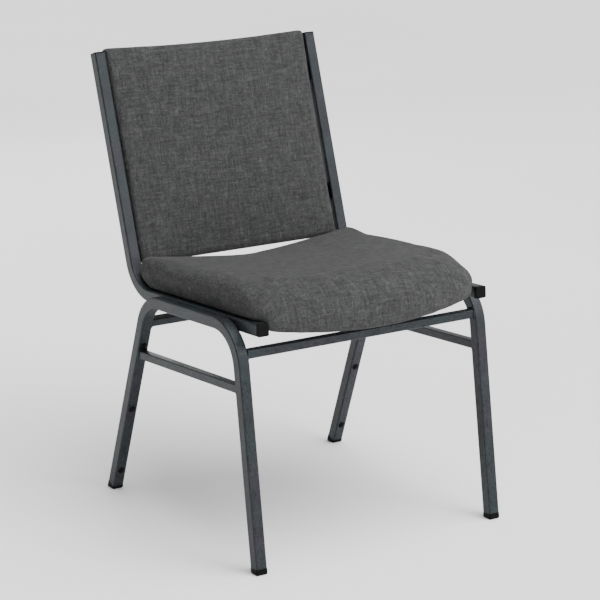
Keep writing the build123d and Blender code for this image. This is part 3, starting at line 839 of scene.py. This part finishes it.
class Nodes:
    """Short hand for building a node tree."""

    def __init__(self, name):
        self.material = bpy.data.materials.new(name)
        self.material.use_nodes = True
        self.tree = self.material.node_tree
        self.shader = self.tree.nodes["Principled BSDF"]

    def add(self, kind, **values):
        node = self.tree.nodes.new("ShaderNode" + kind)
        for key, value in values.items():
            setattr(node, key, value)
        return node

    def link(self, source, target):
        self.tree.links.new(source, target)

    def put(self, node, socket, value):
        if isinstance(value, bpy.types.NodeSocket):
            self.link(value, node.inputs[socket])
        else:
            node.inputs[socket].default_value = value

    def math(self, operation, a, b=0.0, c=0.0, clamp=False):
        node = self.add("Math", operation=operation, use_clamp=clamp)
        for socket, value in enumerate((a, b, c)):
            self.put(node, socket, value)
        return node.outputs[0]

    def noise(self, vector, scale, detail=3.0, rough=0.5, distortion=0.0):
        node = self.add("TexNoise")
        self.link(vector, node.inputs["Vector"])
        self.put(node, "Scale", scale)
        self.put(node, "Detail", detail)
        self.put(node, "Roughness", rough)
        self.put(node, "Distortion", distortion)
        return node.outputs["Fac"]

    def stretch(self, vector, x, y, z):
        node = self.add("Mapping")
        self.link(vector, node.inputs["Vector"])
        self.put(node, "Scale", (x, y, z))
        return node.outputs["Vector"]

    def place(self):
        return self.add("TexCoord").outputs["Object"]

    def ramp(self, value, *stops):
        node = self.add("ValToRGB")
        elements = node.color_ramp.elements
        while len(elements) < len(stops):
            elements.new(0.5)
        for element, (position, colour) in zip(elements, stops):
            element.position = position
            element.color = (*colour, 1.0)
        self.link(value, node.inputs["Fac"])
        return node.outputs["Color"]

    def opaque(self, colour):
        return (*colour, 1.0) if isinstance(colour, tuple) else colour

    def mix(self, factor, a, b, blend="MIX"):
        node = self.add("Mix", data_type="RGBA", blend_type=blend)
        self.put(node, 0, factor)
        self.put(node, 6, self.opaque(a))
        self.put(node, 7, self.opaque(b))
        return node.outputs[2]

    def spread(self, value, low, high, to_low, to_high):
        node = self.add("MapRange")
        for socket, v in enumerate((value, low, high, to_low, to_high)):
            self.put(node, socket, v)
        return node.outputs[0]

    def bump(self, height, distance, strength=1.0, after=None):
        node = self.add("Bump")
        self.put(node, "Height", height)
        self.put(node, "Distance", distance)
        self.put(node, "Strength", strength)
        if after is not None:
            self.link(after, node.inputs["Normal"])
        return node.outputs["Normal"]

    def finish(self, colour=None, rough=None, normal=None, **constants):
        if colour is not None:
            self.put(self.shader, "Base Color", self.opaque(colour))
        if rough is not None:
            self.put(self.shader, "Roughness", rough)
        if normal is not None:
            self.link(normal, self.shader.inputs["Normal"])
        for key, value in constants.items():
            self.put(self.shader, key.replace("_", " "), value)
        return self.material


def straightened(n, leans):
    """Coordinates whose third axis runs along leaning tubes: y is sheared by each lean's slope.

    leans is (slope where y < 0, slope where y > 0)."""
    split = n.add("SeparateXYZ")
    n.link(n.place(), split.inputs[0])
    behind = n.math("GREATER_THAN", split.outputs[1], 0.0)
    slope = n.spread(behind, 0.0, 1.0, leans[0], leans[1])
    moved = n.math("SUBTRACT", split.outputs[1], n.math("MULTIPLY", split.outputs[2], slope))
    join = n.add("CombineXYZ")
    n.link(split.outputs[0], join.inputs[0])
    n.link(moved, join.inputs[1])
    n.link(split.outputs[2], join.inputs[2])
    return join.outputs[0], split.outputs[2]


def coat(name, leans=(0.0, 0.0), split_z=None, along="z"):
    """Black and slate vein powder coat, its veins drawn out along the tube, with a faint cool tint."""
    n = Nodes(name)
    vector, height = straightened(n, leans)
    stretch = {"x": (0.3, 1, 1), "y": (1, 0.3, 1), "z": (1, 1, 0.3)}
    first = n.stretch(vector, *stretch[along])
    if split_z is not None:
        second = n.stretch(n.place(), *stretch["y"])
        above = n.spread(height, split_z - 0.02, split_z + 0.02, 0.0, 1.0)
        node = n.add("Mix", data_type="VECTOR")
        n.put(node, 0, above)
        n.link(first, node.inputs[4])
        n.link(second, node.inputs[5])
        first = node.outputs[1]
    veins = n.noise(first, 420, 3, 0.6, 1.4)
    ridge = n.math("ABSOLUTE", n.math("SUBTRACT", veins, 0.5))
    line = n.spread(ridge, 0.0, 0.055, 1.0, 0.0)
    flecks = n.noise(first, 1500, 2, 0.5)
    cloudy = n.noise(n.place(), 24, 3, 0.55)
    tint = n.ramp(
        n.noise(n.place(), 13, 2, 0.5),
        (0.36, (0.020, 0.042, 0.048)), (0.50, (0.026, 0.032, 0.044)), (0.64, (0.036, 0.030, 0.050)),
    )
    patches = n.spread(cloudy, 0.35, 0.65, 0.0, 0.55)
    dark = n.mix(patches, (0.0015, 0.002, 0.0025), (0.004, 0.0055, 0.007))
    light = n.mix(n.spread(flecks, 0.4, 0.7, 0.0, 0.5), tint, (0.13, 0.145, 0.155))
    ground = n.spread(veins, 0.4, 0.75, 0.05, 0.35)
    cover = n.math("MULTIPLY_ADD", n.spread(cloudy, 0.3, 0.7, 0.35, 0.8), line, ground)
    colour = n.mix(cover, dark, light)
    rough = n.spread(veins, 0.3, 0.7, 0.30, 0.46)
    relief = n.math("MULTIPLY_ADD", line, 0.7, n.math("MULTIPLY", flecks, 0.25))
    normal = n.bump(relief, 0.12 * MM, 0.8)
    return n.finish(colour, rough, normal, Metallic=0.35, Specular_IOR_Level=0.35)


def weave_on(n, a, b, pitch):
    """Plain weave: over 0 one yarn is on top and under 0 the other. a and b run across the yarns."""
    turn = pi / pitch
    sa = n.math("SINE", n.math("MULTIPLY", a, turn))
    sb = n.math("SINE", n.math("MULTIPLY", b, turn))
    return n.math("MULTIPLY", sa, sb)


def fabric(name, level):
    """Heathered grey weave: two yarns of mixed fibres, short light and dark slubs, a soft nap."""
    def grey(value):
        return tuple(level * (value + shift) for shift in (-0.001, 0.0, 0.001))

    n = Nodes(name)
    coords = n.add("TexCoord")
    place = coords.outputs["Object"]
    split = n.add("SeparateXYZ")
    wobble = n.noise(place, 60, 2, 0.5)
    moved = n.add("VectorMath", operation="ADD")
    shake = n.add("CombineXYZ")
    small = n.math("MULTIPLY", n.math("SUBTRACT", wobble, 0.5), YARN_WOBBLE)
    for i in range(3):
        n.link(small, shake.inputs[i])
    n.link(place, moved.inputs[0])
    n.link(shake.outputs[0], moved.inputs[1])
    n.link(moved.outputs[0], split.inputs[0])
    x, y, z = split.outputs
    normal = n.add("SeparateXYZ")
    n.link(coords.outputs["Normal"], normal.inputs[0])
    weights = [n.math("POWER", n.math("ABSOLUTE", out), 6.0) for out in normal.outputs]
    total = n.math("ADD", n.math("ADD", weights[0], weights[1]), weights[2])
    over = None
    for pair, weight in zip(((y, z), (x, z), (x, y)), weights):
        part = n.math("MULTIPLY", weave_on(n, *pair, YARN_PITCH), n.math("DIVIDE", weight, total))
        over = part if over is None else n.math("ADD", over, part)
    fibres_a = n.noise(n.stretch(place, 0.12, 1, 1), 1100, 2, 0.6)
    fibres_b = n.noise(n.stretch(place, 1, 0.12, 0.12), 1100, 2, 0.6)
    on_top = n.spread(over, -0.25, 0.25, 0.0, 1.0)
    fibres = n.add("Mix", data_type="FLOAT")
    n.put(fibres, 0, on_top)
    n.link(fibres_a, fibres.inputs[2])
    n.link(fibres_b, fibres.inputs[3])
    heather = fibres.outputs[0]
    slub_a = n.noise(n.stretch(place, 0.14, 1, 1), 380, 2, 0.5, 0.3)
    slub_b = n.noise(n.stretch(place, 1, 0.14, 0.14), 380, 2, 0.5, 0.3)
    long_a = n.noise(n.stretch(place, 0.16, 1, 1), 210, 2, 0.5, 0.2)
    long_b = n.noise(n.stretch(place, 1, 0.16, 0.16), 210, 2, 0.5, 0.2)
    mottle = n.noise(place, 60, 4, 0.65)
    base = n.ramp(
        heather,
        (0.30, grey(0.057)), (0.50, grey(0.109)), (0.70, grey(0.196)),
    )
    lights = n.math("MAXIMUM", *[n.spread(slub, 0.62, 0.74, 0.0, 1.0) for slub in (slub_a, slub_b)])
    darks = n.math("MAXIMUM", *[n.spread(slub, 0.38, 0.27, 0.0, 1.0) for slub in (slub_a, slub_b)])
    base = n.mix(n.math("MULTIPLY", lights, 0.42), base, grey(0.261))
    base = n.mix(n.math("MULTIPLY", darks, 0.55), base, grey(0.036))
    streaks = n.math("ADD", *[n.spread(yarn, 0.3, 0.7, -0.5, 0.5) for yarn in (long_a, long_b)])
    streaks = n.spread(streaks, -0.7, 0.7, 0.0, 1.0)
    base = n.mix(1.0, base, n.ramp(streaks, (0.0, (0.76,) * 3), (1.0, (1.26,) * 3)), "MULTIPLY")
    base = n.mix(1.0, base, n.ramp(mottle, (0.3, (0.90,) * 3), (0.7, (1.08,) * 3)), "MULTIPLY")
    crowned = n.math("ABSOLUTE", over)
    relief = n.math("MULTIPLY_ADD", heather, 0.5, crowned)
    relief = n.math("MULTIPLY_ADD", lights, 0.5, relief)
    normal_out = n.bump(relief, 0.28 * MM, 0.75)
    normal_out = n.bump(n.noise(place, 150, 3, 0.5), 0.5 * MM, 0.5, normal_out)
    return n.finish(
        base, 0.92, normal_out, Sheen_Weight=0.06, Sheen_Roughness=0.45, Specular_IOR_Level=0.12
    )


def moulded(name, colour, rough, grain, depth):
    """Moulded plastic or rubber: a fine spark texture and a few scuffs."""
    n = Nodes(name)
    place = n.place()
    fine = n.noise(place, grain, 2, 0.5)
    scuff = n.noise(n.stretch(place, 1, 1, 0.4), 160, 4, 0.65, 0.6)
    lighter = tuple(c * 2.2 + 0.002 for c in colour)
    shade = n.mix(n.spread(scuff, 0.55, 0.8, 0.0, 0.5), colour, lighter)
    roughness = n.spread(scuff, 0.3, 0.7, rough - 0.06, rough + 0.1)
    return n.finish(shade, roughness, n.bump(fine, depth, 0.7), Specular_IOR_Level=0.08)


def zinc():
    n = Nodes("zinc_steel")
    place = n.place()
    cloud = n.noise(place, 260, 3, 0.6)
    greys = (0.3, (0.36, 0.37, 0.38)), (0.55, (0.52, 0.53, 0.53)), (0.75, (0.60, 0.60, 0.57))
    colour = n.ramp(cloud, *greys)
    rough = n.spread(cloud, 0.3, 0.7, 0.26, 0.42)
    return n.finish(colour, rough, n.bump(n.noise(place, 2200, 2), 0.03 * MM, 0.6), Metallic=1.0)


def plywood():
    """Birch ply: long grain on the faces, thin layers at the edges."""
    n = Nodes("plywood")
    place = n.place()
    rings = n.noise(n.stretch(place, 14, 0.8, 60), 9, 4, 0.55, 1.2)
    pores = n.noise(n.stretch(place, 90, 4, 90), 14, 2, 0.5)
    browns = (0.30, (0.42, 0.27, 0.13)), (0.52, (0.58, 0.41, 0.22)), (0.75, (0.66, 0.50, 0.30))
    colour = n.ramp(rings, *browns)
    colour = n.mix(n.spread(pores, 0.6, 0.72, 0.0, 0.35), colour, (0.24, 0.14, 0.07))
    return n.finish(colour, 0.62, n.bump(pores, 0.15 * MM, 0.5))


def hardboard():
    n = Nodes("hardboard")
    place = n.place()
    chips = n.noise(place, 700, 4, 0.7)
    browns = (0.3, (0.10, 0.055, 0.028)), (0.6, (0.20, 0.12, 0.065)), (0.8, (0.28, 0.18, 0.10))
    colour = n.ramp(chips, *browns)
    return n.finish(colour, 0.7, n.bump(chips, 0.15 * MM, 0.7))


def nonwoven():
    """Spunbonded black sheet: fine random fibres and a grid of small bond points."""
    n = Nodes("dust_cover")
    place = n.place()
    split = n.add("SeparateXYZ")
    n.link(place, split.inputs[0])
    turn = 2 * pi / BOND_PITCH
    dots = n.math("MULTIPLY", n.math("SINE", n.math("MULTIPLY", split.outputs[0], turn)),
                  n.math("SINE", n.math("MULTIPLY", split.outputs[1], turn)))
    points = n.spread(dots, 0.35, 0.7, 0.0, 1.0)
    fibres = n.noise(n.stretch(place, 1, 0.25, 1), 1500, 3, 0.6, 0.8)
    colour = n.mix(n.math("MULTIPLY", fibres, 0.7), (0.010, 0.010, 0.011), (0.034, 0.034, 0.036))
    height = n.math("SUBTRACT", n.math("MULTIPLY", fibres, 0.6), n.math("MULTIPLY", points, 0.6))
    return n.finish(colour, 0.78, n.bump(height, 0.12 * MM, 0.8))


def paper_floor():
    n = Nodes("studio_floor")
    cloud = n.noise(n.place(), 0.7, 2, 0.5)
    colour = n.ramp(cloud, (0.3, (0.80, 0.80, 0.80)), (0.7, (0.84, 0.84, 0.84)))
    return n.finish(colour, 0.85)


# ---------------------------------------------------------------- frame finishes

def paint(node, material):
    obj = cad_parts[node]
    obj.data.materials.clear()
    obj.data.materials.append(material)
    for slot in obj.material_slots:
        slot.material = material


def finish_frame():
    legs = coat("frame_coat_legs", (tan(FRONT_LEAN), -tan(REAR_LEAN)), LEG_BEND_Z)
    uprights = coat("frame_coat_uprights", (tan(RECLINE), tan(RECLINE)), 0.0)
    across = coat("frame_coat_across", along="x")
    side = coat("frame_coat_side", along="y")
    plastic = moulded("black_plastic", (0.0015, 0.0015, 0.0017), 0.5, 1800, 0.05 * MM)
    rubber = moulded("black_rubber", (0.004, 0.004, 0.004), 0.62, 1300, 0.06 * MM)
    wood, board, metal = plywood(), hardboard(), zinc()
    looks = {
        "leg_frame": legs, "rail_upright": uprights, "side_stretcher": side, "front_stretcher": across,
        "rear_stretcher": across, "tab": across, "cap": plastic, "glide": plastic, "bumper": rubber,
        "board": wood, "back_panel": board, "bolts": metal, "washers": metal, "nuts": metal,
        "staples": metal,
    }
    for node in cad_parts:
        for ending, material in looks.items():
            if node.endswith(ending):
                paint(node, material)
    return across, metal


# ---------------------------------------------------------------- stage

def area_light(name, at, size, power):
    light = bpy.data.lights.new(name, "AREA")
    light.shape = "RECTANGLE"
    light.size, light.size_y = size
    light.energy = power
    obj = bpy.data.objects.new(name, light)
    bpy.context.collection.objects.link(obj)
    obj.location = at
    obj.rotation_euler = (Vector(AIM) - Vector(at)).to_track_quat("-Z", "Y").to_euler()


def stage():
    half = FLOOR_HALF
    floor = mesh_object(
        "studio_floor", [(-half, -half, 0), (half, -half, 0), (half, half, 0), (-half, half, 0)],
        [(0, 1, 2, 3)], paper_floor(),
    )
    world = bpy.data.worlds.new("studio")
    bpy.context.scene.world = world
    world.use_nodes = True
    world.node_tree.nodes["Background"].inputs["Color"].default_value = (1.0, 1.0, 1.0, 1.0)
    world.node_tree.nodes["Background"].inputs["Strength"].default_value = WORLD_STRENGTH
    sun = bpy.data.lights.new("soft_sky", "SUN")
    sun.energy = SKY_ENERGY
    sun.angle = SKY_ANGLE
    sky = bpy.data.objects.new("soft_sky", sun)
    bpy.context.collection.objects.link(sky)
    sky.rotation_euler = SKY_TILT
    area_light("front_right", (1.2, -2.8, 1.7), (1.6, 1.8), 62)
    area_light("rear_fill", (0.9, 3.2, 1.9), (1.8, 1.6), 30)


def camera():
    data = bpy.data.cameras.new("camera")
    data.lens = CAMERA_LENS
    data.sensor_width = CAMERA_SENSOR
    obj = bpy.data.objects.new("camera", data)
    bpy.context.collection.objects.link(obj)
    obj.location = CAMERA_AT
    obj.rotation_euler = (pi / 2 + CAMERA_PITCH, 0, CAMERA_TURN)
    bpy.context.scene.camera = obj


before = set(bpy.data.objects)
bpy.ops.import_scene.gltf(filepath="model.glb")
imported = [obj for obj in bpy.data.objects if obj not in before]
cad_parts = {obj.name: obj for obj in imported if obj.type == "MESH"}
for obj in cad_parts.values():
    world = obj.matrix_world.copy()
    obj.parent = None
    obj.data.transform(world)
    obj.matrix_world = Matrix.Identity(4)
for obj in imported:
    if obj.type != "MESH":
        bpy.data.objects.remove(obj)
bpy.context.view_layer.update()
camera()
stage()
coat_across, zinc_finish = finish_frame()

seat = seat_frame()
back = back_frame()
board_low, board_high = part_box("back_board")
board_rise = board_high.z - board_low.z - (BOARD_FRONT_N - BOARD_REAR_N) * sin(RECLINE)
back_top = board_rise / cos(RECLINE) + BOARD_INSET + BOARD_TOP_LOSS

cloth = fabric("upholstery", CLOTH_LEVEL)
seat_pad = seat_cushion(seat, cloth)
soften(seat_pad, PRESSURE, PUFF_MOST, seat_hold)
keep_piece(seat_pad)
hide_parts("seat_cover", "seat_foam")

back_pad = back_cushion(back, back_top, cloth)
soften(back_pad, PRESSURE, PUFF_MOST, lambda p: back_hold(p, back_top))
keep_piece(back_pad)
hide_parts("back_cover", "back_foam")

panel_skin = back_panel_skin(back, back_top, cloth)
keep_piece(panel_skin)
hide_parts("back_panel_cover")

black_sheet = nonwoven()
sheet, sheet_flat, sheet_rear = dust_sheet(seat, black_sheet)
hems = []
for end, edge, fold in (("front", DUST_FRONT, HEM), ("rear", sheet_rear, -HEM)):
    strip = hem_strip(f"dust_sheet_{end}_hem", seat, black_sheet, edge, edge + fold, sheet_flat[0] / 2)
    hems.append(strip)
for piece in [sheet] + hems:
    keep_piece(piece)
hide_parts("seat_dust_cover")

wire_staples("seat_wire_staples", "seat_staples", seat, zinc_finish)
wire_staples("back_wire_staples", "back_staples", back, zinc_finish)

cross_welds("front_stretcher", 0.0, coat_across)
cross_welds("rear_stretcher", REAR_LEAN, coat_across)
for side_name in ("left", "right"):
    side_welds(f"{side_name}_side_stretcher", coat_across)
seam_welds(seat, coat_across)
seat_tabs = [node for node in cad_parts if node.endswith("seat_tab")]
back_tabs = [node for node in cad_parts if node.endswith("back_tab")]
tab_welds("seat_tab_welds", seat, seat_tabs, -SHEET_THICK - TAB_THICK - 0.4 * MM, coat_across)
tab_welds("back_tab_welds", back, back_tabs, BOARD_REAR_N - TAB_THICK - 0.4 * MM, coat_across)
